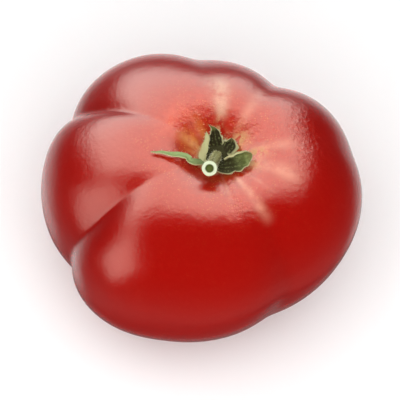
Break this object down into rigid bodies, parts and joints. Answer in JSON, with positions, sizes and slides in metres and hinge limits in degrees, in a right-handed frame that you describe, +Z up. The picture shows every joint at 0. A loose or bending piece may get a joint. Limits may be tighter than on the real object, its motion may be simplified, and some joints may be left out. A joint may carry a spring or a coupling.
{
  "type": "pink tomato",
  "caption": "Lobed pink beefsteak tomato with a leaning stem end, dry curled sepals and a short cut pedicel, resting on its blossom end.",
  "frame": {"origin": "under the middle of the outline seen from above, on the plane that the fruit rests on", "axes": "+Z up through the stem end; -Y is the side that the cut pedicel bends to; +X to the right as seen from there"},
  "size_m": [0.0922, 0.0866, 0.0666],
  "materials": {
    "pink_skin": "smooth waxy skin, deep pink-red with golden flecks round the stem",
    "dry_sepal": "dull, dry and veined, olive green with paler edges",
    "green_stem": "ridged green stalk with a pale cut end"
  },
  "bodies": {
    "root": {"fruit": "pink_skin", "calyx": "dry_sepal", "pedicel": "green_stem"}
  },
  "joints": []
}
